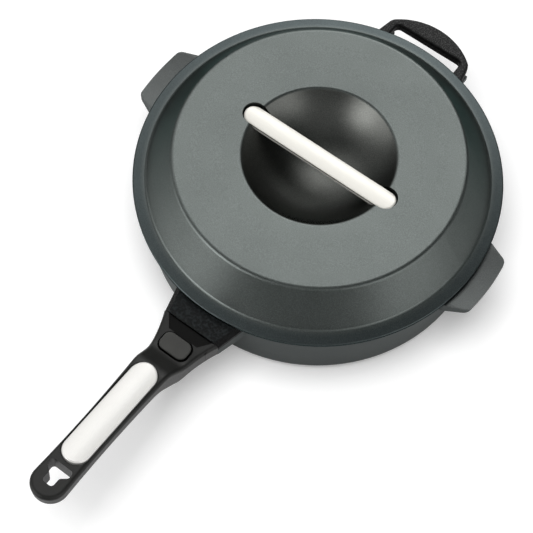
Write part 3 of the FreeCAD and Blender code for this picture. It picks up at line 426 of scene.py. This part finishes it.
def floor_material():
    """Pale paint, lifted to white for what the camera, reflections and clear things see."""
    material, tree, shader, place = new_material("floor_paint")
    tone = mix(tree, noise(tree, place, scale=9.0), (0.90, 0.90, 0.90), (0.91, 0.91, 0.91))
    link(tree, tone, shader.inputs["Base Color"])
    rays = add(tree, "ShaderNodeLightPath").outputs
    shown = math_node(tree, "MAXIMUM", rays["Is Camera Ray"], rays["Is Glossy Ray"])
    shown = math_node(tree, "MAXIMUM", shown, rays["Is Transmission Ray"])
    shader.inputs["Emission Color"].default_value = (1.0, 1.0, 1.0, 1.0)
    link(tree, math_node(tree, "MULTIPLY", shown, floor_glow), shader.inputs["Emission Strength"])
    shader.inputs["Roughness"].default_value = 0.9
    shader.inputs["Specular IOR Level"].default_value = 0.0
    return material


floor_mesh = bpy.data.meshes.new("floor")
corner_signs = ((-1, -1), (1, -1), (1, 1), (-1, 1))
floor_corners = [(floor_reach * x, floor_reach * y, 0.0) for x, y in corner_signs]
floor_mesh.from_pydata(floor_corners, [], [(0, 1, 2, 3)])
floor_mesh.materials.append(floor_material())
floor = bpy.data.objects.new("floor", floor_mesh)
scene.collection.objects.link(floor)
floor.location.z = -floor_drop

# Studio: a plain fill, and soft light boxes that only reflections see
fill = (0.35, 0.35, 0.35)
dark_room = (0.024, 0.038, 0.037)

# Each box: its direction, the angles in degrees where it is full and where it ends, and its strength
boxes = [
    ((-0.16, 0.56, 0.81), 2.0, 38.0, 1.85),
    ((0.18, 0.70, 0.69), 4.0, 22.0, 3.4),
    ((-0.94, -0.32, 0.12), 8.0, 34.0, 2.7),
    ((0.85, -0.50, 0.14), 8.0, 30.0, 2.2),
    ((0.0, 0.92, 0.38), 12.0, 45.0, 0.6),
    ((-0.92, 0.10, 0.38), 12.0, 45.0, 0.5),
    ((0.0, -0.66, 0.75), 8.0, 40.0, 0.55),
    ((0.92, 0.05, 0.40), 10.0, 40.0, 0.25),
    ((-0.10, 0.97, 0.20), 8.0, 24.0, 0.9),
    ((-0.70, -0.50, 0.51), 5.0, 18.0, 6.0),
    ((0.55, -0.65, 0.52), 5.0, 18.0, 2.4),
]


def box_light(tree, look, direction, full, end, strength):
    """A round soft box."""
    inputs = {0: look, 1: toward(direction)}
    facing = add(tree, "ShaderNodeVectorMath", inputs, operation="DOT_PRODUCT").outputs["Value"]
    return ramp(tree, facing, math.cos(math.radians(end)), math.cos(math.radians(full)), 0.0, strength)


def studio():
    world = bpy.data.worlds.new("studio")
    world.use_nodes = True
    tree = world.node_tree
    tree.nodes.clear()
    look = add(tree, "ShaderNodeTexCoord").outputs["Generated"]
    total = 0.0
    for direction, full, end, strength in boxes:
        total = math_node(tree, "ADD", box_light(tree, look, direction, full, end, strength), total)
    channels = {index: math_node(tree, "ADD", total, tone) for index, tone in enumerate(dark_room)}
    reflected = add(tree, "ShaderNodeCombineColor", channels).outputs[0]
    rays = add(tree, "ShaderNodeLightPath").outputs
    shade = mix(tree, rays["Is Glossy Ray"], fill, reflected)
    background = add(tree, "ShaderNodeBackground", {"Color": shade, "Strength": 1.0})
    link(tree, background.outputs[0], add(tree, "ShaderNodeOutputWorld").inputs[0])
    return world


scene.world = studio()


# Lamp
def lamp(name, direction, distance, size, power):
    """A square soft lamp that reflections don't show."""
    data = bpy.data.lights.new(name, "AREA")
    data.shape = "SQUARE"
    data.size = size
    data.energy = power
    made = bpy.data.objects.new(name, data)
    scene.collection.objects.link(made)
    aim = toward(direction)
    made.location = aim * distance
    made.rotation_euler = aim.to_track_quat("Z", "Y").to_euler()
    made.visible_glossy = False


lamp("key", direction=(-0.08, -0.17, 1.0), distance=2.2, size=1.25, power=38.0)
